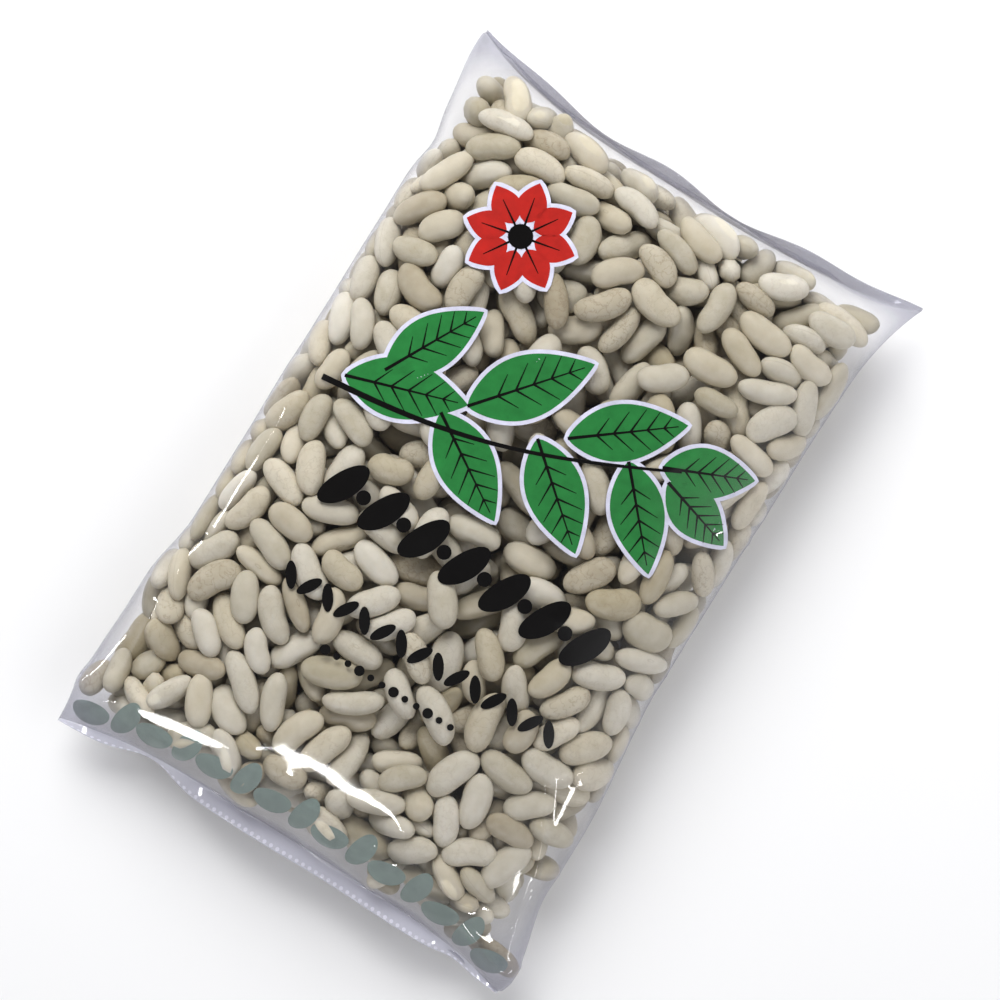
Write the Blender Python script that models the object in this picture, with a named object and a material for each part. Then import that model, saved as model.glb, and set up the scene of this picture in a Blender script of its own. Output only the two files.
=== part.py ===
"""A pillow bag of clear film, filled with a kilogram of dried white beans and lying on its back.

The bag is one closed solid: the outside of the film, drawn tight over the beans. The film is a tube
that is sealed flat across both ends, so the solid starts as a finely divided box. The box's top is
the front of the tube, its bottom is the back, and its narrow sides lie along the two folds.
X runs across the bag, Y along it towards the top seal, and Z up from the table that it lies on.
"""

import math

import bmesh
import bpy
import numpy as np

# Sizes of the bag, in metres.
BAG_LENGTH = 0.261  # from the top left tip to the bottom corners
BAG_WIDTH = 0.166  # of the film tube when it is flat, and so of both seals
LEFT_WAIST = 0.0802  # from the middle of the seals to the left fold, where the filling draws it in
RIGHT_WAIST = 0.0752
LEFT_DENT = 0.0020  # of the left fold below the top corner
TOP_RISE = 0.0280  # of the front above the folds
UNDER_DEPTH = 0.0265  # of the back below the folds, before the table flattens it
FOLD_HEIGHT = 0.0168  # of the folds and the seals above the table
LOW_END_THINNER = 0.10  # share by which the wide lower end is thinner

# The end seals, flat fins of film.
TOP_FIN = 0.0068
BOTTOM_FIN = 0.0065
CORNER_FIN = 0.15  # share of a fin's length that is left at the corners, where beans fill it
TOP_LEFT_TIP = 0.0020  # by which this tip is pulled out beyond the top seal's line
FIN_THICKNESS = 0.0008
TOP_FIN_TILT = math.radians(64)  # it stands up along its middle and lies flat at its corners
BOTTOM_FIN_TILT = math.radians(6)
BOTTOM_FIN_TUCK = math.radians(75)  # it bends down at two places between the middle and the corners
TOP_SEAL_DRAWN_IN = 0.0032  # at its middle, because the bulge takes up film
BOTTOM_SEAL_DRAWN_IN = 0.0012
TOP_PLUMPNESS = 5.0  # exponent of the profile towards a seal: the higher, the nearer the bulge comes
BOTTOM_PLUMPNESS = 4.2
WAVE_HEIGHT = 0.0015
WAVE_LENGTH = 0.052
WAVE_START = 0.030

# The beans that press on the film.
BEAN_LENGTH = 0.0176
BEAN_WIDTH = 0.0102
BEAN_PITCH = 0.0120
GROOVE_DEPTH = 0.0032
BEAN_SEED = 7
RELAX_STEPS = 70

# Divisions of the box across the bag, along its filled body, and along each fin.
CELLS_ACROSS = 48
CELLS_ALONG = 70
CELLS_FIN = 1

FILM_COLOUR = (0.74, 0.68, 0.56, 1.0)


def smooth(t):
    """A step from 0 to 1 with level ends."""
    t = np.clip(t, 0.0, 1.0)
    return t * t * (3.0 - 2.0 * t)


def bell(t):
    """1 at 0, falling towards 0 on both sides as exp of minus t squared."""
    return np.exp(-(t**2))


def low_end(y):
    """1 along the wide lower third of the bag and 0 above it."""
    return smooth((-0.022 - y) / 0.070)


def folds(y):
    """X of the left and right folds: drawn in at the waist, and as wide as the tube at both ends."""
    top = np.clip((y - 0.088) / (BAG_LENGTH / 2 - 0.088), 0.0, 1.0)
    left = LEFT_WAIST + (BAG_WIDTH / 2 - LEFT_WAIST) * (top**1.3 + smooth((-0.052 - y) / 0.024))
    left = left - LEFT_DENT * bell((y - 0.092) / 0.008)
    low = 0.53 * smooth((-0.020 - y) / 0.050) + 0.47 * smooth((-0.095 - y) / 0.022)
    right = RIGHT_WAIST + (BAG_WIDTH / 2 - RIGHT_WAIST) * (top**2.5 + low)
    return -left, right


def fullness(along):
    """Share of the full thickness at a share of the way from the middle (0) to a seal (1)."""
    power = TOP_PLUMPNESS if along > 0.0 else BOTTOM_PLUMPNESS
    return max(1.0 - abs(along) ** power, 0.0) ** 0.53


def fin_share(across):
    """Share of a fin's full length across the bag."""
    return 1.0 - (1.0 - CORNER_FIN) * np.abs(across) ** 4


def seal_lines(across):
    """Y where the filled body ends at the bottom seal and at the top seal."""
    inner = 1.0 - np.abs(across) ** 2.5
    bottom = -BAG_LENGTH / 2 + BOTTOM_FIN * fin_share(across) + BOTTOM_SEAL_DRAWN_IN * inner
    top = BAG_LENGTH / 2 - TOP_FIN * fin_share(across) - TOP_SEAL_DRAWN_IN * inner
    return bottom, top - TOP_LEFT_TIP * (1.0 - np.clip(-across, 0.0, 1.0) ** 6)


def section(along, across, side):
    """X and Z of one row of the body: points evenly spaced round half of a superellipse."""
    y = along * BAG_LENGTH / 2
    power = 2.5 - 0.45 * low_end(y)
    left, right = folds(y)
    angle = np.linspace(-math.pi / 2, math.pi / 2, 721)
    x = (right - left) / 2 * np.sign(angle) * np.abs(np.sin(angle)) ** (2.0 / power)
    rise = TOP_RISE if side > 0 else UNDER_DEPTH
    rise = rise * fullness(along) * (1.0 - LOW_END_THINNER * low_end(y))
    z = side * (rise * np.cos(angle) ** (2.0 / power) + FIN_THICKNESS / 2)
    steps = np.hypot(np.diff(x), np.diff(z))
    length = np.concatenate(([0.0], np.cumsum(steps)))
    at = (across + 1.0) / 2.0 * length[-1]
    return np.interp(at, length, x) + (left + right) / 2, np.interp(at, length, z) + FOLD_HEIGHT


def body_row(along, across, side):
    """One row of the filled body, from fold to fold."""
    x, z = section(along, across, side)
    bottom, top = seal_lines(across)
    y = bottom + (top - bottom) * (along + 1.0) / 2.0
    return np.stack([x, y, z], axis=1)


def fin_row(end, share, across, side):
    """One row of the seal at the top (end 1) or bottom (end -1), at a share of the fin's length."""
    root = body_row(float(end), across, side)
    inner = 1.0 - across**2
    fin, tilt = (TOP_FIN, TOP_FIN_TILT) if end > 0 else (BOTTOM_FIN, BOTTOM_FIN_TILT)
    lean = tilt * inner**0.5
    if end < 0:
        lean -= BOTTOM_FIN_TUCK * (bell((root[:, 0] + 0.052) / 0.016) + 0.6 * bell((root[:, 0] - 0.066) / 0.010))
    wave = WAVE_HEIGHT * np.sin(2.0 * math.pi * (root[:, 0] - WAVE_START) / WAVE_LENGTH) * inner
    out = fin * share * fin_share(across)
    root[:, 1] += end * out * np.cos(lean)
    root[:, 2] += out * np.sin(lean)
    root[:, 1 if end > 0 else 2] += wave * share
    return root


def scatter_beans():
    """Centres and headings of the beans on the flat film, moved apart until they hardly overlap."""
    draw = np.random.default_rng(BEAN_SEED)
    columns = round(BAG_WIDTH / BEAN_PITCH) + 1
    rows = round(BAG_LENGTH / BEAN_PITCH) + 1
    grid = np.stack(np.meshgrid(np.arange(columns), np.arange(rows)), axis=-1).reshape(-1, 2)
    centre = (grid - (np.array([columns, rows]) - 1) / 2) * BEAN_PITCH
    centre = centre + draw.uniform(-0.3, 0.3, centre.shape) * BEAN_PITCH
    heading = draw.uniform(0.0, math.pi, len(centre))
    arms = np.array([-1.0, 0.0, 1.0]) * (BEAN_LENGTH - BEAN_WIDTH) / 2
    owner = np.repeat(np.arange(len(centre)), len(arms))
    others = owner[:, None] != owner[None, :]
    for _ in range(RELAX_STEPS):
        way = np.stack([np.cos(heading), np.sin(heading)], axis=1)
        discs = (centre[:, None] + arms[None, :, None] * way[:, None]).reshape(-1, 2)
        gap = discs[:, None] - discs[None, :]
        apart = np.hypot(gap[..., 0], gap[..., 1]) + 1e-9
        overlap = np.where(others, np.clip(BEAN_WIDTH * 0.94 - apart, 0.0, None), 0.0)
        push = (gap / apart[..., None] * overlap[..., None]).sum(axis=1).reshape(-1, 3, 2)
        centre = centre + 0.25 * push.mean(axis=1)
        turn = (arms[None, :] * (way[:, None, 0] * push[..., 1] - way[:, None, 1] * push[..., 0])).sum(axis=1)
        heading = heading + 0.25 * turn / (2.0 * arms[-1] ** 2)
    return centre, heading, draw.uniform(0.88, 1.10, len(centre))


def bean_relief(flat):
    """Depth of the film below the tops of the beans, at points given on the flat film."""
    centre, heading, size = scatter_beans()
    depth = np.full(len(flat), -GROOVE_DEPTH)
    for (cx, cy), turn, scale in zip(centre, heading, size):
        x, y = flat[:, 0] - cx, flat[:, 1] - cy
        along = (x * math.cos(turn) + y * math.sin(turn)) / (BEAN_LENGTH * scale / 2)
        beside = (y * math.cos(turn) - x * math.sin(turn)) / (BEAN_WIDTH * scale / 2)
        depth = np.maximum(depth, -GROOVE_DEPTH * (along**2 + beside**2))
    return depth


def divided_box():
    """A box from -1 to 1 each way, cut into cells across and along, with unit steps between rows."""
    shape = bmesh.new()
    bmesh.ops.create_cube(shape, size=2.0)
    for axis, cells in ((0, CELLS_ACROSS), (1, CELLS_ALONG + 2 * CELLS_FIN)):
        edges = [e for e in shape.edges if abs(e.verts[0].co[axis] - e.verts[1].co[axis]) > 1.0]
        bmesh.ops.subdivide_edges(shape, edges=edges, cuts=cells - 1, use_grid_fill=True)
    return shape


def shape_bag(mesh):
    """Moves the box's rows to the bag's sections, then presses the beans' relief into them."""
    points = np.empty(len(mesh.vertices) * 3)
    mesh.vertices.foreach_get("co", points)
    unit = points.reshape(-1, 3).copy()
    points = unit.copy()
    rows = CELLS_ALONG + 2 * CELLS_FIN
    row = np.rint((unit[:, 1] + 1.0) / 2.0 * rows).astype(int)
    for number in range(rows + 1):
        for side in (-1.0, 1.0):
            here = (row == number) & (unit[:, 2] * side > 0.0)
            across = unit[here, 0]
            if number < CELLS_FIN:
                points[here] = fin_row(-1, 1.0 - number / CELLS_FIN, across, side)
            elif number > rows - CELLS_FIN:
                points[here] = fin_row(1, (number - rows + CELLS_FIN) / CELLS_FIN, across, side)
            else:
                points[here] = body_row((number - CELLS_FIN) / CELLS_ALONG * 2.0 - 1.0, across, side)
    mesh.vertices.foreach_set("co", points.ravel())
    mesh.update()

    normal = np.empty(len(mesh.vertices) * 3)
    mesh.vertices.foreach_get("normal", normal)
    along = np.clip((row - CELLS_FIN) / CELLS_ALONG * 2.0 - 1.0, -1.0, 1.0)
    filled = smooth(np.array([fullness(share) for share in along]) * 2.0 - 0.4)
    filled *= smooth((1.0 - np.abs(unit[:, 0])) * 9.0)
    flat = np.stack([unit[:, 0] * BAG_WIDTH / 2, points[:, 1]], axis=1)
    flat[unit[:, 2] < 0.0, 0] *= -1.0
    points = points + normal.reshape(-1, 3) * (bean_relief(flat) * filled)[:, None]

    points[:, 2] = np.maximum(points[:, 2], 0.0)
    points[:, :2] -= (points[:, :2].min(axis=0) + points[:, :2].max(axis=0)) / 2
    mesh.vertices.foreach_set("co", points.ravel())
    mesh.update()


def film_material():
    """Clear film over cream beans, seen from outside."""
    material = bpy.data.materials.new("film_over_beans")
    material.use_nodes = True
    shader = material.node_tree.nodes["Principled BSDF"]
    shader.inputs["Base Color"].default_value = FILM_COLOUR
    shader.inputs["Roughness"].default_value = 0.25
    shader.inputs["Metallic"].default_value = 0.0
    material.diffuse_color = FILM_COLOUR
    return material


def make_bag(collection):
    """The filled bag, one closed solid."""
    mesh = bpy.data.meshes.new("bag_of_beans")
    box = divided_box()
    box.to_mesh(mesh)
    box.free()
    shape_bag(mesh)
    mesh.materials.append(film_material())
    mesh.shade_smooth()
    bag = bpy.data.objects.new("bag_of_beans", mesh)
    collection.objects.link(bag)


for leftover in list(bpy.data.objects):
    bpy.data.objects.remove(leftover)
parts = bpy.data.collections.new("bag_of_dried_beans")
bpy.context.scene.collection.children.link(parts)
make_bag(parts)
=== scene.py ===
"""A pillow bag of clear printed film, filled with dried white beans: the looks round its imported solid.

Metres. X runs across the bag, Y along it towards the top seal, and Z up from the table.
"""

import math

import bpy
import numpy as np
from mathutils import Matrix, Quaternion, Vector


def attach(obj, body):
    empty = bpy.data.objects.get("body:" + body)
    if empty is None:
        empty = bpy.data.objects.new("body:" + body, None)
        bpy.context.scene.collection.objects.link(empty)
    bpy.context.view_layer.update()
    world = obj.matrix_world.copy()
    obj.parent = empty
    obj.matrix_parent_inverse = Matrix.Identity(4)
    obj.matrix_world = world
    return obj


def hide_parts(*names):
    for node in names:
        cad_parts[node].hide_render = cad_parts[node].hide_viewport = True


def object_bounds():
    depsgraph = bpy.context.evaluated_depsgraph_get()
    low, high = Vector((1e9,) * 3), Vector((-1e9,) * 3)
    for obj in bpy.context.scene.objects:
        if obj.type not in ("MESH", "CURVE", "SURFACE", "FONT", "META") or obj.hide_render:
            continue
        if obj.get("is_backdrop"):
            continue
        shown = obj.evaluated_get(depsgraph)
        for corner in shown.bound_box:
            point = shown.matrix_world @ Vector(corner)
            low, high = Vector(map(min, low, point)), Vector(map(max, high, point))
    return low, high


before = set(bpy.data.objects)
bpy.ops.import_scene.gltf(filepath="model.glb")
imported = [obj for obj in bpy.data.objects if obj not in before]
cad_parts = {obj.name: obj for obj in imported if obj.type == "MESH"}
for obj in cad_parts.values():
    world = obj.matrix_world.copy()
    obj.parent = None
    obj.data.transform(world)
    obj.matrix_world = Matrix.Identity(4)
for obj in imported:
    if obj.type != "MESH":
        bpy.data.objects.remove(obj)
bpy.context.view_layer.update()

# Beans.
# Dried white beans, plump ovals with a slightly hollow side and a matt creamy skin. They are poured
# into a tube of film that lies on its back and is sealed across both ends, where it is 166 mm wide.
# Each is moved here as six balls that grow and push one another apart until they fit in the film.
BEAN_LENGTH = 0.0178
BEAN_WIDTH = 0.0094
BEAN_THICK = 0.0074
BEAN_SEED = 11
FILL_SHARE = 0.670
CLEARANCE = 0.0002
END_ROOM = 0.0024
SEAL_GAP = 0.0012
BURST = 0.0011
BALLS = np.array([[-1.0, 0.0], [1.0, 0.0], [-0.44, -1.0], [0.44, -1.0], [-0.44, 1.0], [0.44, 1.0]])
BAG_LENGTH = 0.261
BAG_WIDTH = 0.166
LEFT_WAIST = 0.0802
RIGHT_WAIST = 0.0752
LEFT_DENT = 0.0020
TOP_RISE = 0.0280
UNDER_DEPTH = 0.0265
FOLD_HEIGHT = 0.0168
LOW_END_THINNER = 0.10
TOP_PLUMPNESS = 5.0
BOTTOM_PLUMPNESS = 4.2
TOP_FIN = 0.0068
BOTTOM_FIN = 0.0065
CORNER_FIN = 0.15
TOP_LEFT_TIP = 0.0020
TOP_SEAL_DRAWN_IN = 0.0032
BOTTOM_SEAL_DRAWN_IN = 0.0012
TOP_CORNERS_START = 0.088


def smooth(t):
    """A step from 0 to 1 with level ends."""
    t = np.clip(t, 0.0, 1.0)
    return t * t * (3.0 - 2.0 * t)


def bell(t):
    """1 at 0, falling towards 0 on both sides as exp of minus t squared."""
    return np.exp(-(t**2))


def low_end(y):
    """1 along the wide lower third of the bag and 0 above it."""
    return smooth((-0.022 - y) / 0.070)


def folds(y):
    """X of the left and right folds: drawn in at the waist, and as wide as the tube at both ends."""
    top = np.clip((y - TOP_CORNERS_START) / (BAG_LENGTH / 2 - TOP_CORNERS_START), 0.0, 1.0)
    left = LEFT_WAIST + (BAG_WIDTH / 2 - LEFT_WAIST) * (top**1.3 + smooth((-0.052 - y) / 0.024))
    left = left - LEFT_DENT * bell((y - 0.092) / 0.008)
    low = 0.53 * smooth((-0.020 - y) / 0.050) + 0.47 * smooth((-0.095 - y) / 0.022)
    right = RIGHT_WAIST + (BAG_WIDTH / 2 - RIGHT_WAIST) * (top**2.5 + low)
    return -left, right


def fin_share(across):
    """Share of a seal's fin's full length across the bag: its corners are filled with beans."""
    return 1.0 - (1.0 - CORNER_FIN) * np.abs(across) ** 4


def seal_lines(across):
    """Y where the filled body ends at the bottom seal and at the top seal."""
    inner = 1.0 - np.abs(across) ** 2.5
    bottom = -BAG_LENGTH / 2 + BOTTOM_FIN * fin_share(across) + BOTTOM_SEAL_DRAWN_IN * inner
    top = BAG_LENGTH / 2 - TOP_FIN * fin_share(across) - TOP_SEAL_DRAWN_IN * inner
    return bottom, top - TOP_LEFT_TIP * (1.0 - np.clip(-across, 0.0, 1.0) ** 6)


def rises(along):
    """Height of the front above the folds and of the back below them, by share of the way to a seal."""
    power = np.where(np.asarray(along) > 0.0, TOP_PLUMPNESS, BOTTOM_PLUMPNESS)
    share = np.clip(1.0 - np.abs(along) ** power, 0.0, 1.0) ** 0.53
    share = share * (1.0 - LOW_END_THINNER * low_end(along * BAG_LENGTH / 2))
    return TOP_RISE * share, UNDER_DEPTH * share


def sharpness(y):
    """Exponent of the cross-section's superellipse: fuller at the waist than at the low end."""
    return 2.5 - 0.45 * low_end(y)


def level_in_bag(p):
    """The superellipse's norm of a point's offsets from the middle of its section: 1 on the film.

    It is at least the share of the way from the bag's middle to a seal, which closes both ends.
    """
    left, right = folds(p[:, 1])
    across = (p[:, 0] - (left + right) / 2) / ((right - left) / 2)
    bottom, top = seal_lines(np.clip(across, -1.0, 1.0))
    along = (p[:, 1] - bottom) / (top - bottom) * 2.0 - 1.0
    front, back = rises(np.clip(along, -1.0, 1.0))
    up = p[:, 2] - FOLD_HEIGHT
    rise = np.maximum(np.where(up > 0.0, front, back), 0.0008)
    power = sharpness(p[:, 1])
    level = (np.abs(across) ** power + np.abs(up / rise) ** power + 1e-9) ** (1.0 / power)
    return np.maximum(level, np.abs(along))


def depth_in_bag(points):
    """Depth of points below the film, (1 - level) over the level's slope, and the way out."""
    step = 2e-4
    here = level_in_bag(points)
    slope = np.stack([(level_in_bag(points + step * axis) - here) / step for axis in np.eye(3)], axis=1)
    steep = np.linalg.norm(slope, axis=1) + 1e-6
    return (1.0 - here) / steep, slope / steep[:, None]


def past_seals(points):
    """How far points lie past the line that the beans keep to, SEAL_GAP short of a seal."""
    bottom, top = seal_lines(np.clip(points[:, 0] * 2.0 / BAG_WIDTH, -1.0, 1.0))
    return np.maximum(points[:, 1] - top, bottom - points[:, 1]) + SEAL_GAP


def bag_volume():
    """Volume under the film, counted on a grid of 2 mm cells."""
    axes = [np.arange(-0.09, 0.09, 0.002), np.arange(-0.13, 0.13, 0.002), np.arange(0.001, 0.05, 0.002)]
    cells = np.stack(np.meshgrid(*axes, indexing="ij"), axis=-1).reshape(-1, 3)
    return (depth_in_bag(cells)[0] > 0.0).sum() * 0.002**3


def turned(twist):
    """Rotation matrices of vectors that point along the axes and are as long as the angles."""
    angle = np.linalg.norm(twist, axis=1) + 1e-12
    x, y, z = (twist / angle[:, None]).T
    c, s = np.cos(angle), np.sin(angle)
    k = 1.0 - c
    return np.stack([
        np.stack([c + x * x * k, x * y * k - z * s, x * z * k + y * s], axis=1),
        np.stack([y * x * k + z * s, c + y * y * k, y * z * k - x * s], axis=1),
        np.stack([z * x * k - y * s, z * y * k + x * s, c + z * z * k], axis=1),
    ], axis=1)


def lying(draw, count):
    """Turns of beans that lie down: any heading, a slight tilt, and most on their flat side."""
    heading = draw.uniform(0.0, 2.0 * math.pi, count)
    tilt = draw.normal(0.0, math.radians(12), count)
    roll = draw.normal(0.0, math.radians(30), count) + (draw.uniform(size=count) < 0.2) * math.pi / 2
    long = np.stack([np.cos(heading) * np.cos(tilt), np.sin(heading) * np.cos(tilt), np.sin(tilt)], axis=1)
    wide = np.cross([0.0, 0.0, 1.0], long)
    wide /= np.linalg.norm(wide, axis=1)[:, None]
    thick = np.cross(long, wide)
    c, s = np.cos(roll)[:, None], np.sin(roll)[:, None]
    return np.stack([long, c * wide + s * thick, c * thick - s * wide], axis=2)


def neighbours(centre, balls, reach, grown):
    """Pairs of balls of different beans that touch or soon may."""
    gap = centre[:, None] - centre[None]
    near = (gap**2).sum(axis=2) < (1.12 * BEAN_LENGTH * grown) ** 2
    first, second = np.nonzero(np.triu(near, 1))
    gap = balls[first][:, :, None] - balls[second][:, None]
    close = (gap**2).sum(axis=3) < ((reach[first] + reach[second] + 0.0022) ** 2)[:, None, None]
    pair, i, j = np.nonzero(close)
    return first[pair] * len(BALLS) + i, second[pair] * len(BALLS) + j


def pack_beans(draw):
    """Centres, turns and sizes of the beans when they have filled the bag, without any that burst it."""
    one = 4.0 / 3.0 * math.pi * BEAN_LENGTH * BEAN_WIDTH * BEAN_THICK / 8 * 1.06
    count = int(FILL_SHARE * bag_volume() / one)
    size = np.clip(draw.normal(1.0, 0.075, (count, 3)), 0.80, 1.18)
    size *= np.clip(draw.normal(1.0, 0.05, (count, 1)), 0.86, 1.12)
    full = size * np.array([BEAN_LENGTH, BEAN_WIDTH, BEAN_THICK])
    guess = draw.uniform([-0.083, -0.128, 0.002], [0.083, 0.128, 0.045], (8 * count, 3))
    chance = 0.80 + 0.20 * smooth((np.abs(guess[:, 1]) - 0.098) / 0.014)
    chosen = (depth_in_bag(guess)[0] > 0.002) & (draw.uniform(size=len(guess)) < chance)
    centre = guess[chosen][:count]

    # One bean starts in each of the bag's four corners.
    centre[:4] = [[x, y, FOLD_HEIGHT] for x in (-0.073, 0.073) for y in (-0.119, 0.117)]
    turn = lying(draw, count)

    # A ball touches the bean's flat faces, and the end balls stop at its tips.
    radius = full[:, 2] / 2 * 1.01
    arms = np.zeros((count, len(BALLS), 3))
    arms[:, :, 0] = BALLS[:, 0] * (full[:, 0] / 2 - radius)[:, None]
    arms[:, :, 1] = BALLS[:, 1] * (full[:, 1] / 2 - radius)[:, None]

    steps = 340
    for step in range(steps):
        grown = 0.45 + 0.55 * min(1.0, step / (0.55 * steps))
        reach = radius * grown
        balls = centre[:, None] + np.einsum("nij,nkj->nki", turn, arms * grown)
        if step % 5 == 0:
            one_ball, other_ball = neighbours(centre, balls, reach, grown)
        flat = balls.reshape(-1, 3)
        radii = np.repeat(reach, len(BALLS))
        gap = flat[one_ball] - flat[other_ball]
        apart = np.linalg.norm(gap, axis=1) + 1e-9
        lap = np.clip(radii[one_ball] + radii[other_ball] - apart, 0.0, None)
        push = gap * (0.5 * lap / apart)[:, None]
        move = np.stack([
            np.bincount(one_ball, push[:, k], len(flat)) - np.bincount(other_ball, push[:, k], len(flat))
            for k in range(3)
        ], axis=1)
        met = lap > 0.0
        touching = np.bincount(one_ball, met, len(flat)) + np.bincount(other_ball, met, len(flat))

        # Near the seals the film is slack, and the beans there push it out by up to END_ROOM.
        depth, out = depth_in_bag(flat)
        depth += END_ROOM * smooth((np.abs(flat[:, 1]) - 0.088) / 0.022)
        beyond = np.clip(radii + CLEARANCE - depth, 0.0, 0.004)
        floor = np.clip(radii + CLEARANCE - flat[:, 2], 0.0, None)
        move -= out * beyond[:, None]
        past = past_seals(flat) + radii
        move[:, 1] -= np.sign(flat[:, 1]) * np.clip(past, 0.0, 0.004)
        move[:, 2] += floor

        # The film presses the outer beans flat: it levels the depths of a bean's balls.
        deep = depth.reshape(balls.shape[:2])
        middle = deep.mean(axis=1, keepdims=True)
        level = (deep - middle) * 0.15 * np.exp(-middle / 0.006)
        move += out * np.clip(level, -0.0006, 0.0006).reshape(-1, 1)
        touching = touching + (beyond > 0.0) + (floor > 0.0)

        arm = flat.reshape(balls.shape) - centre[:, None]
        move = move.reshape(balls.shape)
        touches = np.maximum(touching.reshape(count, -1).sum(axis=1), 1.0)
        inertia = touches * (arm**2).sum(axis=(1, 2)) / len(BALLS)
        twist = np.cross(arm, move).sum(axis=1) / inertia[:, None]
        twist *= np.minimum(1.0, 0.12 / (np.linalg.norm(twist, axis=1) + 1e-9))[:, None]
        centre = centre + move.sum(axis=1) / touches[:, None] * 1.5

        # The beans settle downwards and, when the bag is shaken, out into its corners.
        near_seal = smooth((np.abs(centre[:, 1]) - 0.090) / 0.020)
        shaken = (0.0005 + 0.0007 * near_seal) * (step < 0.8 * steps)
        centre[:, :2] += shaken[:, None] * centre[:, :2]
        centre[:, 2] -= 0.00003 * (step < 0.6 * steps)
        turn = np.einsum("nij,njk->nik", turned(twist * 1.5), turn)

    # A bean that is still too far out is left out, and one that dips into the table is lifted.
    out_by = np.maximum(radii - depth, past)
    held = out_by.reshape(count, -1).max(axis=1) < BURST
    dip = np.clip(radii + 2.0 * CLEARANCE - flat[:, 2], 0.0, None)
    centre[:, 2] += dip.reshape(count, -1).max(axis=1)
    return centre[held], turn[held], full[held]


def bean_points(full, traits, rows, around):
    """Points of beans in their own axes, as (bean, row, place round the row), and as shares of the size.

    A row's radius is (1 - |u|^2.45)^(1/2.1) of the half width, u being -1 and 1 at the tips. The middle
    line bends by u squared, and the inner side is hollowed by a bell round u = 0.
    """
    u = -np.cos(np.pi * np.arange(rows + 1) / rows)[None, :, None]
    v = (2.0 * np.pi * np.arange(around) / around)[None, None, :]
    bend, hollow, taper, lean = traits.T[:, :, None, None]
    ring = (1.0 - np.abs(u) ** 2.45) ** (1.0 / 2.1) * (1.0 + taper * u)
    long, wide, thick = full.T[:, :, None, None]
    x = long / 2 * u + 0.0 * v + lean * wide * ring * np.cos(v)
    y = wide / 2 * ring * np.cos(v) + long * bend * (u**2 - 0.33)
    y = y - wide * hollow * np.exp(-((u / 0.34) ** 2)) * np.clip(np.cos(v), 0.0, 1.0) ** 2
    z = thick / 2 * ring * np.sin(v)
    points = np.stack(np.broadcast_arrays(x, y, z), axis=-1)
    shares = np.stack(np.broadcast_arrays(u + 0.0 * bend, ring * np.cos(v), ring * np.sin(v)), axis=-1)
    return points, shares


def one_tip(values):
    """Rows of beans with each end row, whose points all lie in the tip, made one point."""
    tips = np.stack([values[:, 0, 0], values[:, -1, 0]], axis=1)
    return np.concatenate([tips, values[:, 1:-1].reshape(len(values), -1, 3)], axis=1)


def bean_faces(count, rows, around):
    """Quads between the rows of closed beans, and the triangles round their two tips."""
    inner = 2 + (np.arange(1, rows) - 1)[:, None] * around + np.arange(around)[None, :]
    across = np.roll(inner, -1, axis=1)
    quads = np.stack([inner[:-1], across[:-1], across[1:], inner[1:]], axis=-1).reshape(-1, 4)
    low = np.stack([np.zeros(around, int), across[0], inner[0]], axis=-1)
    high = np.stack([np.ones(around, int), inner[-1], across[-1]], axis=-1)
    tips = np.concatenate([low, high])
    shift = (np.arange(count) * (2 + (rows - 1) * around))[:, None, None]
    return (quads[None] + shift).reshape(-1, 4), (tips[None] + shift).reshape(-1, 3)


def mesh_of(name, points, quads, triangles=np.empty((0, 3), int)):
    """A smooth-shaded object from arrays of points, quads and triangles."""
    mesh = bpy.data.meshes.new(name)
    mesh.vertices.add(len(points))
    mesh.vertices.foreach_set("co", np.ascontiguousarray(points, dtype=np.float32).ravel())
    corners = np.concatenate([quads.ravel(), triangles.ravel()]).astype(np.int32)
    starts = np.concatenate([np.arange(len(quads)) * 4, len(quads) * 4 + np.arange(len(triangles)) * 3])
    mesh.loops.add(len(corners))
    mesh.loops.foreach_set("vertex_index", corners)
    mesh.polygons.add(len(starts))
    mesh.polygons.foreach_set("loop_start", starts.astype(np.int32))
    mesh.update(calc_edges=True)
    mesh.shade_smooth()
    piece = bpy.data.objects.new(name, mesh)
    bpy.context.scene.collection.objects.link(piece)
    return piece


def attribute(piece, name, kind, values):
    """Stores one value a point under a name, for materials."""
    layer = piece.data.attributes.new(name, kind, "POINT")
    key = "vector" if kind == "FLOAT_VECTOR" else "value"
    layer.data.foreach_set(key, np.ascontiguousarray(values, dtype=np.float32).ravel())


def make_beans(name, chosen, levels, packed, traits, tone):
    """One kind of bean: a single mesh, finely divided where the film shows it."""
    centre, turn, full = packed
    points, shares, tones, quads, ends, start = [], [], [], [], [], 0
    for level, (rows, around) in enumerate(((14, 12), (9, 8))):
        here = np.nonzero(chosen & (levels == level))[0]
        p, s = bean_points(full[here], traits[here], rows, around)
        p = one_tip(np.einsum("nij,nrkj->nrki", turn[here], p) + centre[here][:, None, None])
        q, t = bean_faces(len(here), rows, around)
        points.append(p.reshape(-1, 3))
        shares.append(one_tip(s).reshape(-1, 3))
        tones.append(np.repeat(tone[here], p.shape[1]))
        quads.append(q + start)
        ends.append(t + start)
        start += p.shape[0] * p.shape[1]
    piece = mesh_of(name, np.concatenate(points), np.concatenate(quads), np.concatenate(ends))
    attribute(piece, "place", "FLOAT_VECTOR", np.concatenate(shares))
    attribute(piece, "tone", "FLOAT", np.concatenate(tones))
    return piece


def add_node(tree, kind, *links, **values):
    """A node with its first inputs given in order, as sockets to link from or plain values."""
    node = tree.nodes.new(kind)
    for key, value in values.items():
        setattr(node, key, value)
    for socket, value in zip(node.inputs, links):
        if isinstance(value, bpy.types.NodeSocket):
            tree.links.new(value, socket)
        elif value is not None:
            socket.default_value = value
    return node


def math_of(tree, operation, *values):
    """The output of a Math node."""
    return add_node(tree, "ShaderNodeMath", *values, operation=operation).outputs[0]


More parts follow.
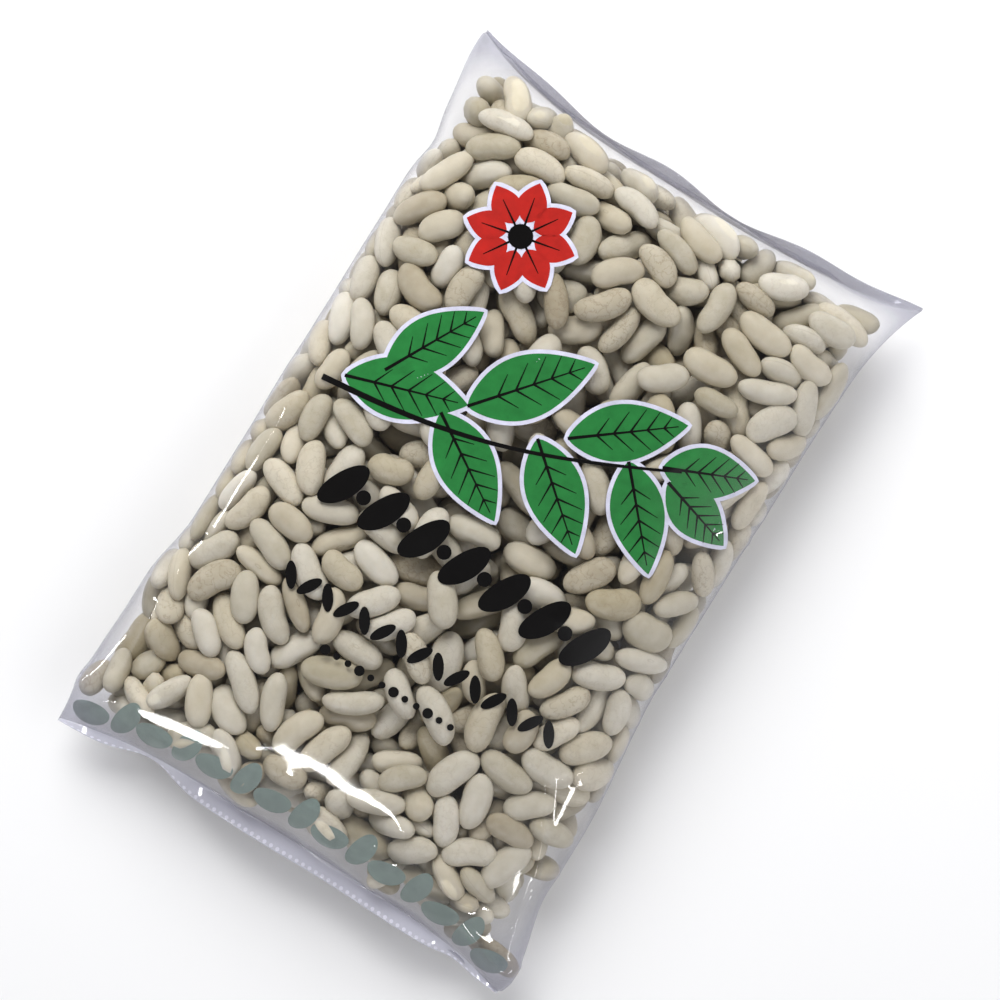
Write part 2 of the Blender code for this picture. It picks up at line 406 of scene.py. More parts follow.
def mix_of(tree, share, first, second):
    """The colour output of a Mix node."""
    node = add_node(tree, "ShaderNodeMix", data_type="RGBA")
    for socket, value in zip((node.inputs[0], node.inputs[6], node.inputs[7]), (share, first, second)):
        if isinstance(value, tuple):
            socket.default_value = (*value, 1.0)
        else:
            tree.links.new(value, socket)
    return node.outputs[2]


def bean_skin():
    """Node group for the skin: tone by bean, soft mottling, a ringed mark in the hollow, wrinkles."""
    group = bpy.data.node_groups.new("bean_skin", "ShaderNodeTree")
    for label in ("Dark", "Light"):
        group.interface.new_socket(label, in_out="INPUT", socket_type="NodeSocketColor")
    for label in ("Mark", "Crack"):
        group.interface.new_socket(label, in_out="INPUT", socket_type="NodeSocketFloat")
    group.interface.new_socket("Color", in_out="OUTPUT", socket_type="NodeSocketColor")
    group.interface.new_socket("Height", in_out="OUTPUT", socket_type="NodeSocketFloat")
    given = add_node(group, "NodeGroupInput")
    result = add_node(group, "NodeGroupOutput")
    spot = add_node(group, "ShaderNodeTexCoord").outputs["Object"]
    place = add_node(group, "ShaderNodeAttribute", attribute_name="place").outputs["Vector"]
    tone = add_node(group, "ShaderNodeAttribute", attribute_name="tone").outputs["Fac"]
    x, y, z = add_node(group, "ShaderNodeSeparateXYZ", place).outputs

    mottle = add_node(group, "ShaderNodeTexNoise", spot, None, 210.0, 4.0).outputs["Fac"]
    share = math_of(group, "ADD", tone, math_of(group, "MULTIPLY_ADD", mottle, 0.8, -0.4))
    share = add_node(group, "ShaderNodeClamp", share).outputs[0]
    colour = mix_of(group, share, given.outputs["Dark"], given.outputs["Light"])

    # The mark is an oval ring round the middle of the hollow side, where the bean hung in its pod.
    long, wide = math_of(group, "DIVIDE", x, 0.14), math_of(group, "DIVIDE", z, 0.12)
    far = math_of(group, "MULTIPLY_ADD", long, long, math_of(group, "MULTIPLY", wide, wide))
    far = math_of(group, "SQRT", far)
    edge = math_of(group, "ABSOLUTE", math_of(group, "SUBTRACT", far, 0.85))
    rim = math_of(group, "SUBTRACT", 1.0, math_of(group, "DIVIDE", edge, 0.35))
    rim = math_of(group, "MAXIMUM", rim, 0.0)
    rim = math_of(group, "MULTIPLY", rim, math_of(group, "GREATER_THAN", y, 0.3))
    rim = math_of(group, "MULTIPLY", rim, given.outputs["Mark"])
    colour = mix_of(group, rim, colour, (0.16, 0.10, 0.05))

    # The seam is a faint line along the back, where the bean's two halves meet.
    seam = math_of(group, "SUBTRACT", 1.0, math_of(group, "DIVIDE", math_of(group, "ABSOLUTE", z), 0.040))
    seam = math_of(group, "MAXIMUM", seam, 0.0)
    seam = math_of(group, "MULTIPLY", seam, math_of(group, "LESS_THAN", y, 0.0))
    colour = mix_of(group, math_of(group, "MULTIPLY", seam, 0.30), colour, (0.24, 0.18, 0.10))

    # Fine wrinkles run where a noise crosses 0.5, on somewhat over half of the beans.
    bent = add_node(group, "ShaderNodeTexNoise", spot, None, 330.0, 3.0).outputs["Fac"]
    bent = math_of(group, "ABSOLUTE", math_of(group, "SUBTRACT", bent, 0.5))
    vein = math_of(group, "DIVIDE", bent, 0.030)
    vein = math_of(group, "MAXIMUM", math_of(group, "SUBTRACT", 1.0, vein), 0.0)
    some = math_of(group, "FRACT", math_of(group, "MULTIPLY", tone, 37.0))
    vein = math_of(group, "MULTIPLY", vein, math_of(group, "GREATER_THAN", some, 0.45))
    vein = math_of(group, "MULTIPLY", vein, given.outputs["Crack"])
    colour = mix_of(group, math_of(group, "MULTIPLY", vein, 0.38), colour, (0.24, 0.17, 0.09))
    group.links.new(colour, result.inputs["Color"])
    group.links.new(math_of(group, "MULTIPLY_ADD", vein, -0.6, mottle), result.inputs["Height"])
    return group


def bean_material(name, skin, dark, light, mark, crack):
    """Satin bean skin in one kind's colours."""
    material = bpy.data.materials.new(name)
    material.use_nodes = True
    tree = material.node_tree
    shader = tree.nodes["Principled BSDF"]
    shader.inputs["Roughness"].default_value = 0.38
    shader.inputs["Specular IOR Level"].default_value = 0.5
    shader.inputs["Subsurface Weight"].default_value = 0.10
    shader.inputs["Subsurface Radius"].default_value = (0.0016, 0.0011, 0.0007)
    shader.inputs["Subsurface Scale"].default_value = 1.0
    group = add_node(tree, "ShaderNodeGroup", node_tree=skin)
    for label, value in (("Dark", (*dark, 1.0)), ("Light", (*light, 1.0)), ("Mark", mark), ("Crack", crack)):
        group.inputs[label].default_value = value
    bump = add_node(tree, "ShaderNodeBump")
    bump.inputs["Strength"].default_value = 0.40
    bump.inputs["Distance"].default_value = 0.0004
    tree.links.new(group.outputs["Color"], shader.inputs["Base Color"])
    tree.links.new(group.outputs["Height"], bump.inputs["Height"])
    tree.links.new(bump.outputs["Normal"], shader.inputs["Normal"])
    return material


draw = np.random.default_rng(BEAN_SEED)
packed = pack_beans(draw)
centre = packed[0]

# Each bean's bend, hollow, taper and lean, and its tone. Beans out of sight have fewer faces.
traits = draw.uniform([0.005, 0.0, -0.09, -0.07], [0.060, 0.09, 0.09, 0.07], (len(centre), 4))
tone = draw.beta(2.0, 1.8, len(centre))
levels = ((depth_in_bag(centre)[0] > 0.0135) | (centre[:, 2] < 0.009)).astype(int)
lot = draw.uniform(0.0, 1.0, len(centre))
KINDS = (
    ("ivory_beans", lot < 0.52, (0.41, 0.365, 0.255), (0.67, 0.63, 0.53), 0.24, 0.35),
    ("straw_beans", (lot >= 0.52) & (lot < 0.80), (0.40, 0.345, 0.225), (0.64, 0.585, 0.46), 0.28, 0.5),
    ("wrinkled_beans", lot >= 0.80, (0.36, 0.305, 0.205), (0.58, 0.53, 0.41), 0.32, 1.0),
)
skin_group = bean_skin()
bean_pieces = []
for name, chosen, dark, light, mark, crack in KINDS:
    piece = make_beans(name, chosen, levels, packed, traits, tone)
    piece.data.materials.append(bean_material(name, skin_group, dark, light, mark, crack))
    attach(piece, "root")
    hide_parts("bag_of_beans")
    bean_pieces.append(piece)

# Film.
# Clear film, 0.05 mm thick, blown as a tube, filled, and welded flat across both ends in crimped fins.
# It bridges from bean to bean like a stretched skin, air lifts it along the low end's slope, and it
# creases where the tube narrows.
FRONT_CELLS = 192
BACK_CELLS = 96
BODY_ROWS = 262
TOP_FIN_ROWS = 8
BOTTOM_FIN_ROWS = 8
TOP_FIN_TILT = math.radians(64)
BOTTOM_FIN_TILT = math.radians(6)
BOTTOM_FIN_TUCK = math.radians(75)
WAVE_HEIGHT = 0.0015
WAVE_LENGTH = 0.052
WAVE_START = 0.030
CRIMP_PITCH = 0.0024
THIN_HEIGHT = 0.009
RIPPLE_HEIGHT = 0.00006
POCKET_LIFT = 0.0008
SKIN_GAP = 0.0003
STEEP_GAP = 0.0008
SLACK = 0.0026
MOST_LIFT = 0.0025
UNDERSIDE = 0.00005
AIR_POCKET = (0.004, -0.096, 0.052, 0.016)
# Creases on the front, in millimetres: both ends, height, and width.
CREASES = (
    (59, -60, 77, -101, 1.4, 1.3),
    (69, -84, 79, -120, 1.1, 1.1),
    (-74, -80, -72, -109, 0.9, 1.1),
    (-80, -122, -70, -114, 0.8, 0.9),
    (58, -115, 81, -123, 0.9, 1.1),
    (-64, 125, -55, 118, 0.8, 0.9),
    (24, -108, 34, -112, 0.8, 1.6),
    (62, -48, 72, -58, 0.9, 0.9),
    (70, -53, 61, -59, 0.9, 0.9),
    (66, -60, 68, -48, 0.8, 0.8),
    (-75, -65, -71, -75, 0.8, 0.9),
    (77, -110, 78, -118, 0.8, 1.0),
    (76, 35, 62, 33, 0.8, 1.2),
    (-79, -55, -66, -52, 0.8, 1.2),
    (14, 120, 20, 107, 0.9, 1.2),
    (-36, 120, -38, 109, 0.8, 1.2),
)


def section_row(along, across, side):
    """One row of the film before the beans press on it: evenly spaced round half of a superellipse."""
    y = along * BAG_LENGTH / 2
    left, right = folds(y)
    front, back = rises(along)
    angle = np.linspace(-math.pi / 2, math.pi / 2, 721)
    x = (right - left) / 2 * np.sign(angle) * np.abs(np.sin(angle)) ** (2.0 / sharpness(y))
    z = side * ((front if side > 0 else back) * np.cos(angle) ** (2.0 / sharpness(y)) + 0.0001)
    length = np.concatenate(([0.0], np.cumsum(np.hypot(np.diff(x), np.diff(z)))))
    at = (across + 1.0) / 2.0 * length[-1]
    bottom, top = seal_lines(across)
    x, z = np.interp(at, length, x) + (left + right) / 2, np.interp(at, length, z) + FOLD_HEIGHT
    return np.stack([x, bottom + (top - bottom) * (along + 1.0) / 2.0, z], axis=1)


def fin_row(end, share, across, side):
    """One row of a seal's fin at a share of its length: it leans up from the bag's ends, and waves."""
    points = section_row(float(end), across, side)
    inner = 1.0 - across**2
    fin, tilt = (TOP_FIN, TOP_FIN_TILT) if end > 0 else (BOTTOM_FIN, BOTTOM_FIN_TILT)
    lean = tilt * inner**0.5
    if end < 0:
        tucked = bell((points[:, 0] + 0.052) / 0.016) + 0.6 * bell((points[:, 0] - 0.066) / 0.010)
        lean -= BOTTOM_FIN_TUCK * tucked
    fin = fin * fin_share(across)
    points[:, 1] += end * fin * share * np.cos(lean)
    points[:, 2] += fin * share * np.sin(lean)
    wave = WAVE_HEIGHT * np.sin(2.0 * math.pi * (points[:, 0] - WAVE_START) / WAVE_LENGTH) * inner
    points[:, 1 if end > 0 else 2] += wave * share
    return points


def film_grid():
    """The film before the beans press on it, as (row, place round the tube), and each row's fin share."""
    front = np.linspace(-1.0, 1.0, FRONT_CELLS + 1)
    back = np.linspace(1.0, -1.0, BACK_CELLS + 1)[1:-1]
    lines = [(fin_row, (-1, k / BOTTOM_FIN_ROWS)) for k in range(BOTTOM_FIN_ROWS, 0, -1)]
    spread = np.sin(np.linspace(-1.0, 1.0, BODY_ROWS + 1) * 1.25) / math.sin(1.25)
    lines += [(section_row, (along,)) for along in spread]
    lines += [(fin_row, (1, k / TOP_FIN_ROWS)) for k in range(1, TOP_FIN_ROWS + 1)]
    rows = [np.concatenate([make(*where, front, 1.0), make(*where, back, -1.0)]) for make, where in lines]
    fins = [where[1] if make is fin_row else 0.0 for make, where in lines]
    return np.stack(rows), np.array(fins)


def end_faces(ring, end):
    """Triangles that close one end of the tube, where two of the front's cells face each of the back's."""
    front = ring[:FRONT_CELLS + 1]
    back = np.concatenate([front[:1], ring[:FRONT_CELLS:-1], front[-1:]])
    even, odd, later = front[:-1:2], front[1::2], front[2::2]
    faces = np.concatenate([
        np.stack([back[:-1], even, odd], axis=1)[1:],
        np.stack([back[:-1], odd, back[1:]], axis=1),
        np.stack([back[1:], odd, later], axis=1)[:-1],
    ])
    return faces[:, ::end]


def outward(grid):
    """Unit normals of the tube, from the differences between neighbours round it and along it."""
    round_it = np.roll(grid, -1, axis=1) - np.roll(grid, 1, axis=1)
    normal = np.cross(round_it, np.gradient(grid, axis=0))
    return normal / (np.linalg.norm(normal, axis=2, keepdims=True) + 1e-12)


def laid_on(points, quads, target, downwards):
    """Points moved straight onto a target, down or along their surface's inward normals."""
    start = mesh_of("start", points, quads)
    wrap = start.modifiers.new("wrap", "SHRINKWRAP")
    wrap.target = target
    wrap.wrap_method = "PROJECT"
    wrap.use_project_z = downwards
    wrap.use_negative_direction = True
    wrap.use_positive_direction = False
    wrap.project_limit = 0.0 if downwards else 0.012
    found = np.empty(len(points) * 3, dtype=np.float32)
    start.evaluated_get(bpy.context.evaluated_depsgraph_get()).data.vertices.foreach_get("co", found)
    mesh = start.data
    bpy.data.objects.remove(start)
    bpy.data.meshes.remove(mesh)
    return found.reshape(-1, 3).astype(float)


def bean_tops(grid, normal, quads):
    """Offset along the normal, from each film point, of the outermost bean under it."""
    reach = 0.006
    start = (grid + normal * reach).reshape(-1, 3)
    top = np.full(len(start), -1.0)
    for piece in bean_pieces:
        moved = np.linalg.norm(laid_on(start, quads, piece, False) - start, axis=1)
        top = np.maximum(top, np.where(moved > 1e-6, reach - moved, -1.0))
    return top.reshape(grid.shape[:2])


def mean_of(skin):
    """Each point's mean of its four neighbours, round the tube and along it, with its ends held."""
    mean = (np.roll(skin, 1, 1) + np.roll(skin, -1, 1) + np.roll(skin, 1, 0) + np.roll(skin, -1, 0)) / 4
    mean[0], mean[-1] = 0.0, 0.0
    return mean


def stretch(top, lowest):
    """The skin over the bean tops: each point rests on its bean or at the mean of its neighbours."""
    base = np.maximum(top, lowest)
    skin = base.copy()
    for _ in range(420):
        skin = np.maximum(base, mean_of(skin))
    for _ in range(6):
        skin = np.maximum(top, 0.4 * skin + 0.6 * mean_of(skin))
    return skin


def crease_height(grid):
    """Height of the creases over the front: a bell across each, and nothing at its ends."""
    height = np.zeros(grid.shape[:2])
    x, y = grid[..., 0] * 1000.0, grid[..., 1] * 1000.0
    for x0, y0, x1, y1, high, wide in CREASES:
        long = math.hypot(x1 - x0, y1 - y0)
        along = ((x - x0) * (x1 - x0) + (y - y0) * (y1 - y0)) / long**2
        beside = ((y - y0) * (x1 - x0) - (x - x0) * (y1 - y0)) / long
        ridge = bell(beside / wide) * np.clip(1.0 - (2.0 * along - 1.0) ** 2, 0.0, 1.0) ** 0.5
        height = np.maximum(height, ridge * high / 1000.0)
    height[:, FRONT_CELLS + 1:] = 0.0
    return height


def film_material():
    """Clear glossy film, hazy lilac at a slant and at the folds and seals, with painted shade greying it
    there.
    """
    material = bpy.data.materials.new("clear_film")
    material.use_nodes = True
    tree = material.node_tree
    tree.nodes.clear()
    gloss = add_node(tree, "ShaderNodeBsdfGlossy", (1.0, 1.0, 1.0, 1.0), 0.06)
    spot = add_node(tree, "ShaderNodeTexCoord").outputs["Object"]
    ripple = add_node(tree, "ShaderNodeTexNoise", spot, None, 110.0, 2.0)
    bump = add_node(tree, "ShaderNodeBump", 0.5, RIPPLE_HEIGHT)
    tree.links.new(ripple.outputs["Fac"], bump.inputs["Height"])
    tree.links.new(bump.outputs["Normal"], gloss.inputs["Normal"])

    # A thin film mirrors alike from both sides, so the index is turned over for its inside.
    inside = add_node(tree, "ShaderNodeNewGeometry").outputs["Backfacing"]
    index = math_of(tree, "MULTIPLY_ADD", inside, 1.0 / 1.55 - 1.55, 1.55)
    mirrored = math_of(tree, "MINIMUM", add_node(tree, "ShaderNodeFresnel", index).outputs[0], 0.28)
    slant = add_node(tree, "ShaderNodeLayerWeight", 0.5).outputs["Facing"]
    edge = math_of(tree, "POWER", slant, 3.8)

    # The lower fin's crimp is a row of small white dots near its edge.
    weld = add_node(tree, "ShaderNodeAttribute", attribute_name="weld").outputs["Vector"]
    x, share, lower = add_node(tree, "ShaderNodeSeparateXYZ", weld).outputs
    x = math_of(tree, "SUBTRACT", math_of(tree, "FRACT", math_of(tree, "DIVIDE", x, CRIMP_PITCH)), 0.5)
    y = math_of(tree, "MULTIPLY_ADD", share, BOTTOM_FIN / CRIMP_PITCH, -0.84 * BOTTOM_FIN / CRIMP_PITCH)
    far = math_of(tree, "SQRT", math_of(tree, "MULTIPLY_ADD", x, x, math_of(tree, "MULTIPLY", y, y)))
    dot = math_of(tree, "MULTIPLY", math_of(tree, "LESS_THAN", far, 0.27), lower)

    # Painted shade greys the haze at a slant and where the layers meet; painted light whitens the lower fin.
    thin = add_node(tree, "ShaderNodeAttribute", attribute_name="thin").outputs["Fac"]
    edge = math_of(tree, "MAXIMUM", edge, math_of(tree, "MULTIPLY", thin, 0.50))
    # Painted light: the lower fin's haze is whitened as if lit, beside the crimp's white dots.
    lower_fin_painted_light = math_of(tree, "MULTIPLY", math_of(tree, "GREATER_THAN", share, 0.001), lower)
    dots = math_of(tree, "MULTIPLY", dot, 0.8)
    white = math_of(tree, "MAXIMUM", dots, math_of(tree, "MULTIPLY", lower_fin_painted_light, 0.5))
    hazy = math_of(tree, "MAXIMUM", math_of(tree, "MULTIPLY", edge, 0.60), white)
    # Painted shade and light: grey haze on the margins, white haze on the lower fin.
    haze_colour_painted_shade_and_light = mix_of(tree, math_of(tree, "MAXIMUM", dot, lower_fin_painted_light), (0.42, 0.42, 0.49), (0.84, 0.84, 0.93))
    haze = add_node(tree, "ShaderNodeBsdfDiffuse", haze_colour_painted_shade_and_light)
    # Painted shade: less passes through the film at a slant and where the layers meet.
    let_through = mix_of(tree, edge, (0.975, 0.975, 0.985), (0.55, 0.55, 0.62))
    clear = add_node(tree, "ShaderNodeBsdfTransparent", let_through)
    body = add_node(tree, "ShaderNodeMixShader", hazy, clear.outputs[0], haze.outputs[0])
    shine = add_node(tree, "ShaderNodeMixShader", mirrored, body.outputs[0], gloss.outputs[0])
    output = add_node(tree, "ShaderNodeOutputMaterial")
    tree.links.new(shine.outputs[0], output.inputs["Surface"])
    return material


grid, fins = film_grid()
normal = outward(grid)
rows, columns = grid.shape[:2]
index = np.arange(rows * columns).reshape(rows, columns)
beside = np.roll(index, -1, axis=1)
film_quads = np.stack([index[:-1], beside[:-1], beside[1:], index[1:]], axis=-1).reshape(-1, 4)
steep = smooth((np.abs(grid[..., 1]) - 0.092) / 0.020)
top = bean_tops(grid, normal, film_quads) + SKIN_GAP + STEEP_GAP * steep

# Between beans the film may sink by SLACK, but less near the folds, and air lifts it over the pocket.
pocket_x, pocket_y, pocket_wide, pocket_long = AIR_POCKET
pocket = ((grid[..., 0] - pocket_x) / pocket_wide) ** 2 + ((grid[..., 1] - pocket_y) / pocket_long) ** 2
high = np.abs(grid[..., 2] - FOLD_HEIGHT)
airy = smooth(1.6 - pocket) * (grid[..., 2] > FOLD_HEIGHT)
lowest = POCKET_LIFT * airy - SLACK * smooth(high / 0.010) * (1.0 - airy)
lowest[fins > 0.0] = 0.0
skin = stretch(top, lowest) + crease_height(grid)
skin[fins > 0.0] = 0.0
film_points = grid + normal * np.minimum(skin, MOST_LIFT)[..., None]
film_points[..., 2] = np.maximum(film_points[..., 2], UNDERSIDE)
ends = np.concatenate([end_faces(index[0], -1), end_faces(index[-1], 1)])
film = mesh_of("film", film_points.reshape(-1, 3), film_quads, ends)
lower = np.arange(rows) < BOTTOM_FIN_ROWS
weld = np.stack(np.broadcast_arrays(grid[..., 0], fins[:, None], lower[:, None]), axis=-1)
attribute(film, "weld", "FLOAT_VECTOR", weld)
# Painted shade: the film's haze is greyed near the folds and on the fins.
attribute(film, "thin", "FLOAT", np.maximum(1.0 - smooth(high / THIN_HEIGHT), (fins > 0.0)[:, None]))
film.data.materials.append(film_material())
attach(film, "root")
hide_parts("bag_of_beans")

# Print.
# Flat inks on the inside of the film: a sprig of green leaves, a red flower, rows of black pods and
# dots, and a grey-green band at the low end. White ink lies under the sprig and the flower, and shows
# round them. Each shape is a strip, in millimetres: a line with a half width at each of its points.
INK_STEP = 0.9
LEAVES = (
    (-62, 12, 40, 19, 18),
    (-52, 20, 36, 17, 62),
    (-30, 18, 38, 18, -32),
    (-24, 24, 42, 20, 50),
    (0, 27, 38, 18, -40),
    (8, 32, 38, 18, 38),
    (28, 36, 36, 17, -48),
    (38, 40, 30, 16, 24),
    (42, 37, 27, 15, -16),
)
FLOWER = (-38.0, 78.0)


def strip(line, half):
    """Points across a line at each of its points, as (place along, place across)."""
    line, half = np.asarray(line, dtype=float), np.asarray(half, dtype=float)
    way = np.gradient(line, axis=0)
    way /= np.linalg.norm(way, axis=1, keepdims=True)
    side = np.stack([-way[:, 1], way[:, 0]], axis=1)
    share = np.linspace(-1.0, 1.0, 2 + round(2.0 * half.max() / INK_STEP))
    return line[:, None] + side[:, None] * (half[:, None] * share[None])[..., None]


def along(x, y, heading, u, w=0.0):
    """Points at distances u ahead of and w beside a place with a heading in degrees."""
    c, s = math.cos(math.radians(heading)), math.sin(math.radians(heading))
    return np.stack([x + u * c - w * s, y + u * s + w * c], axis=-1)


def leaf(x, y, long, wide, heading, grow=0.0):
    """A pointed leaf from its stalk: its half width is a sine of its length, and may grow all round."""
    t = np.linspace(0.0, 1.0, round(long / INK_STEP))
    half = (wide / 2) * np.sin(np.pi * t**0.85) ** 0.9 + grow * np.sin(np.pi * t) ** 0.3
    return strip(along(x, y, heading, t * (long + 2 * grow) - grow), np.maximum(half, 0.02))


def stroke(line, width, tip):
    """A drawn line that ends at a share of its width."""
    return strip(line, np.linspace(1.0, tip, len(line)) * width / 2)


def pod(x, y, long, wide, heading, bend=0.0):
    """An oval whose middle line bends by the square of its length."""
    u = -np.cos(np.linspace(0.0, np.pi, max(9, round(long / INK_STEP))))
    line = along(x, y, heading, u * long / 2, bend * wide * (u**2 - 0.4))
    return strip(line, np.sqrt(np.clip(1.0 - u**2, 0.0004, 1.0)) * wide / 2)


def veins(x, y, long, wide, heading):
    """A leaf's midrib and five pairs of side veins."""
    found = [stroke(along(x, y, heading, np.linspace(0.0, 0.92 * long, 40)), 1.1, 0.3)]
    for k in range(1, 6):
        reach = wide * 0.36 * math.sin(math.pi * (0.14 + 0.14 * k))
        path = np.linspace(0.0, reach, 8)
        ahead = long * (0.10 + 0.14 * k) + 0.9 * path
        found += [stroke(along(x, y, heading, ahead, side * path), 0.7, 0.3) for side in (-1.0, 1.0)]
    return found


def ink_coat():
    """Node group for a printed ink: it lies a little thicker here and thinner there, in soft flecks."""
    group = bpy.data.node_groups.new("ink_coat", "ShaderNodeTree")
    group.interface.new_socket("Ink", in_out="INPUT", socket_type="NodeSocketColor")
    group.interface.new_socket("Color", in_out="OUTPUT", socket_type="NodeSocketColor")
    group.interface.new_socket("Roughness", in_out="OUTPUT", socket_type="NodeSocketFloat")
    given = add_node(group, "NodeGroupInput")
    result = add_node(group, "NodeGroupOutput")
    spot = add_node(group, "ShaderNodeTexCoord").outputs["Object"]
    fleck = add_node(group, "ShaderNodeTexNoise", spot, None, 240.0, 6.0, 0.65).outputs["Fac"]
    lot = math_of(group, "MULTIPLY_ADD", fleck, 0.7, 0.65)
    colour = add_node(group, "ShaderNodeVectorMath", given.outputs["Ink"], operation="SCALE")
    group.links.new(lot, colour.inputs["Scale"])
    group.links.new(colour.outputs[0], result.inputs["Color"])
    group.links.new(math_of(group, "MULTIPLY_ADD", fleck, 0.4, 0.3), result.inputs["Roughness"])
    return group


def ink(name, strips, colour, below, shine):
    """One ink: its strips laid on the film and sunk just below it."""
    points, quads, start = [], [], 0
    for one in strips:
        n, m = one.shape[:2]
        at = np.arange(n * m).reshape(n, m) + start
        points.append(one.reshape(-1, 2) / 1000.0)
        quads.append(np.stack([at[:-1, :-1], at[:-1, 1:], at[1:, 1:], at[1:, :-1]], axis=-1).reshape(-1, 4))
        start += n * m
    flat = np.concatenate(points)
    quads = np.concatenate(quads)[:, ::-1]
    laid = laid_on(np.column_stack([flat, np.full(len(flat), 0.1)]), quads, film, True)
    piece = mesh_of(name, laid, quads)
    way = np.empty(len(laid) * 3, dtype=np.float32)
    piece.data.vertices.foreach_get("normal", way)
    laid = laid - way.reshape(-1, 3) * below
    piece.data.vertices.foreach_set("co", laid.astype(np.float32).ravel())
    piece.data.update()
    material = bpy.data.materials.new(name)
    material.use_nodes = True
    shader = material.node_tree.nodes["Principled BSDF"]
    coat = add_node(material.node_tree, "ShaderNodeGroup", (*colour, 1.0), node_tree=coat_group)
    material.node_tree.links.new(coat.outputs["Color"], shader.inputs["Base Color"])
    material.node_tree.links.new(coat.outputs["Roughness"], shader.inputs["Roughness"])
    shader.inputs["Specular IOR Level"].default_value = shine
    piece.data.materials.append(material)
    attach(piece, "root")
    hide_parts("bag_of_beans")


coat_group = ink_coat()
t = np.linspace(0.0, 1.0, 120)
stem = np.stack([-68 + 112 * t, 8 + 34 * t - 7 * np.sin(np.pi * t)], axis=1)
petals = [(*along(*FLOWER, 45 * k + 12, 4.5), 13.5, 9.5, 45 * k + 12) for k in range(8)]
green = [leaf(*shape) for shape in LEAVES]
red = [leaf(*shape) for shape in petals]
white = [leaf(*shape, 1.3) for shape in (*LEAVES, *petals)]
black = [stroke(stem, 2.0, 0.4), pod(*FLOWER, 8.0, 8.0, 0)]
black += [one for shape in LEAVES for one in veins(*shape)]
black += [stroke(along(*FLOWER, 45 * k + 12, np.linspace(1.0, 13.0, 16)), 0.9, 0.3) for k in range(8)]
black += [pod(-44.0 + 15.2 * k, -17.2 - 0.55 * k, 18.5, 8.6, 62, 0.10) for k in range(7)]
black += [pod(-36.4 + 15.2 * k, -17.5 - 0.55 * k, 4.8, 4.8, 0) for k in range(6)]
black += [pod(-43.0 + 6.8 * k, -50.0, 9.0, 3.6, 58 if k % 2 else -58) for k in range(15)]
black += [pod(-21.5 + 4.2 * k, -64.2, *((2.2, 2.2) if k % 3 else (3.4, 3.4)), 0) for k in range(12)]
band_y = [-114.0 + 1.6 * (k % 2) - 8.0 * abs(k / 7 - 1) ** 3 for k in range(15)]
band = [pod(-75.0 + 10.7 * k, band_y[k], 12.5, 7.5, 75 if k % 2 else 10, 0.2) for k in range(15)]
ink("white_ink", white, (0.68, 0.68, 0.80), 0.00016, 0.3)
ink("green_ink", green, (0.018, 0.205, 0.040), 0.00012, 0.3)
ink("red_ink", red, (0.46, 0.014, 0.008), 0.00012, 0.3)
ink("black_ink", black, (0.002, 0.0015, 0.001), 0.00008, 0.1)
ink("grey_green_ink", band, (0.19, 0.25, 0.22), 0.00012, 0.3)

# Staging.
# A white table, a large soft light from the upper left and a weaker one from the right, small lights
# that only the film's highlights show, and a bright horizon under a dark ceiling round the camera.
SCENE = bpy.context.scene
RIGHT = Vector((0.849, 0.529, 0.0))
CAMERA_HEIGHT = 1.02
FRAME_AT_BAG = 0.32


def soft_light(name, towards, size, power, mirrored=True, lighting=True, roll=0.0):
    """A flat light 1.3 m off, that faces the bag from a direction in its axes, rolled by some degrees."""
    light = bpy.data.lights.new(name, "AREA")
    light.shape = "RECTANGLE"
    light.size, light.size_y = size
    light.energy = power
    lamp = bpy.data.objects.new(name, light)
    SCENE.collection.objects.link(lamp)
    way = Vector(towards).normalized()
    lamp.location = way * 1.3
    rolled = Quaternion((0.0, 0.0, 1.0), math.radians(roll))
    lamp.rotation_euler = (way.to_track_quat("Z", "Y") @ rolled).to_euler()
    lamp.visible_glossy = mirrored
    lamp.visible_diffuse = lighting


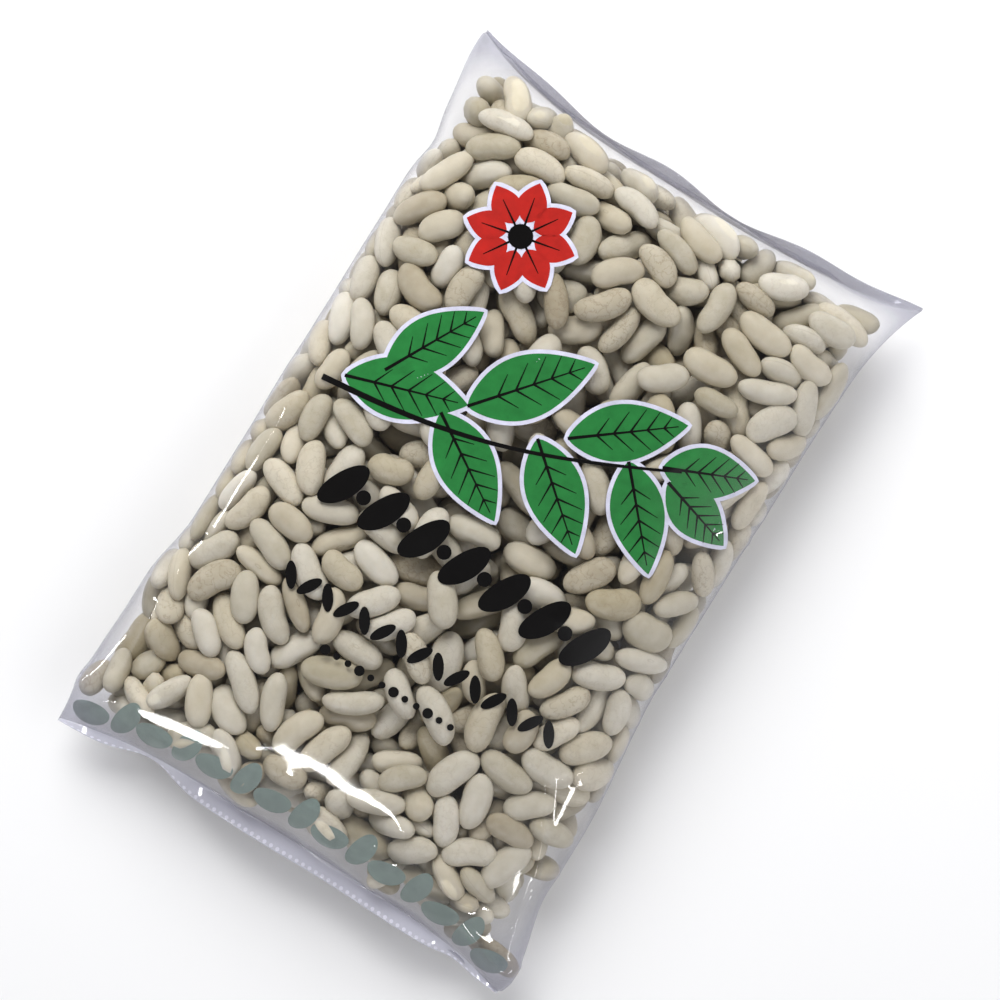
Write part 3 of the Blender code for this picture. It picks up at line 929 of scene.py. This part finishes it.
bpy.ops.mesh.primitive_plane_add(size=6.0, location=(0.0, 0.0, -0.0005))
floor = bpy.context.object
floor.name = "floor"
white_paint = bpy.data.materials.new("white_table")
white_paint.use_nodes = True
paint = white_paint.node_tree.nodes["Principled BSDF"]
paint.inputs["Base Color"].default_value = (0.88, 0.88, 0.88, 1.0)
paint.inputs["Roughness"].default_value = 0.9
floor.data.materials.append(white_paint)
floor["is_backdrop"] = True

soft_light("key_light", (-0.59, 0.64, 0.82), (0.9, 0.9), 20.6, mirrored=False)
soft_light("right_fill", (1.0, 0.10, 0.90), (1.2, 1.2), 3.4, mirrored=False)
soft_light("low_strip", (0.02, -0.58, 1.0), (0.32, 0.04), 1.8, lighting=False, roll=-15.0)
soft_light("low_left", (-0.45, -1.3, 1.0), (0.26, 0.12), 2.4, lighting=False)
soft_light("low_right", (0.75, -1.2, 1.0), (0.20, 0.15), 2.0, lighting=False)
soft_light("left_window", (-1.0, -0.16, 0.30), (0.24, 0.05), 1.0, lighting=False)
soft_light("right_window", (1.0, -0.32, 0.55), (0.28, 0.07), 1.4, lighting=False)

world = bpy.data.worlds.new("studio")
SCENE.world = world
world.use_nodes = True
tree = world.node_tree
looking = add_node(tree, "ShaderNodeTexCoord").outputs["Generated"]
x, y, z = add_node(tree, "ShaderNodeSeparateXYZ", looking).outputs
up = math_of(tree, "MULTIPLY_ADD", y, 0.22, math_of(tree, "MULTIPLY_ADD", x, -0.28, z))
ramp = add_node(tree, "ShaderNodeValToRGB", up)
ramp.color_ramp.elements[0].position = 0.30
ramp.color_ramp.elements[0].color = (0.92, 0.92, 0.95, 1.0)
ramp.color_ramp.elements[1].position = 0.88
ramp.color_ramp.elements[1].color = (0.10, 0.10, 0.11, 1.0)
tree.links.new(ramp.outputs[0], tree.nodes["Background"].inputs["Color"])
tree.nodes["Background"].inputs["Strength"].default_value = 1.0

view = bpy.data.objects.new("photo_camera", bpy.data.cameras.new("photo_camera"))
SCENE.collection.objects.link(view)
view.data.sensor_width = 36.0
view.data.lens = 36.0 / FRAME_AT_BAG
view.location = (0.0002, 0.0045, CAMERA_HEIGHT)
view.rotation_euler = (0.0, 0.0, math.atan2(RIGHT.y, RIGHT.x))
SCENE.camera = view
SCENE.view_settings.view_transform = "Standard"

low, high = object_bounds()
